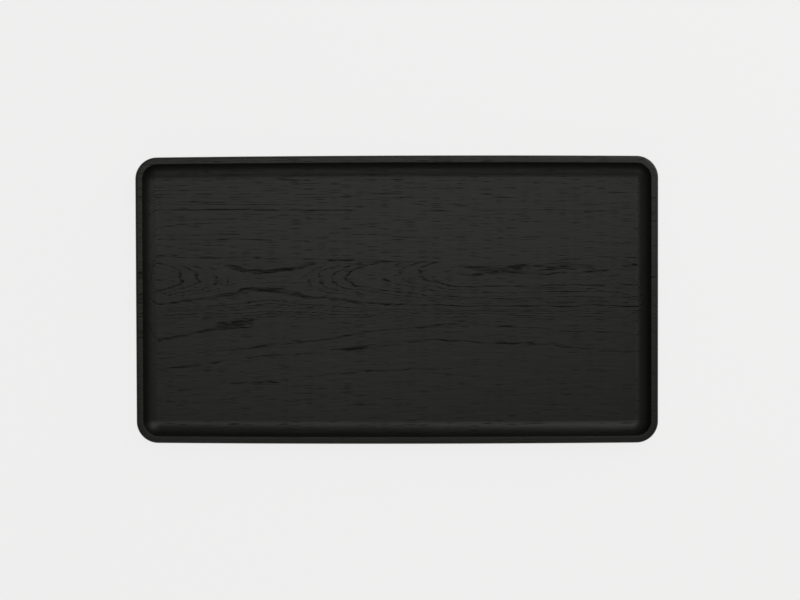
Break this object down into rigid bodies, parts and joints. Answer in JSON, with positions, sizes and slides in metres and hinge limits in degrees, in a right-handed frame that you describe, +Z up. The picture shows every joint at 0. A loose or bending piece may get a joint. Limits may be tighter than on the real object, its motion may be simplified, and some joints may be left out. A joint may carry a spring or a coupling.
{
  "type": "catchall tray",
  "caption": "Low rectangular catchall tray in black-stained oak, with an even rim, upright walls, a cove all round its floor and low rubber feet.",
  "frame": {"origin": "middle of the rectangle on which the feet stand, at the bottom of the feet", "axes": "+X along the tray's length and the grain, +Y to the rear, which is the top of the picture, +Z up out of the pocket"},
  "size_m": [0.4, 0.221, 0.0215],
  "materials": {
    "stained_oak": "black stain with the pores left open, under a satin lacquer",
    "foot_rubber": "matte moulded rubber"
  },
  "bodies": {
    "root": {"rear_board": "stained_oak", "middle_board": "stained_oak", "front_board": "stained_oak", "rear_left_foot": "foot_rubber", "rear_right_foot": "foot_rubber", "front_left_foot": "foot_rubber", "front_right_foot": "foot_rubber"}
  },
  "joints": []
}
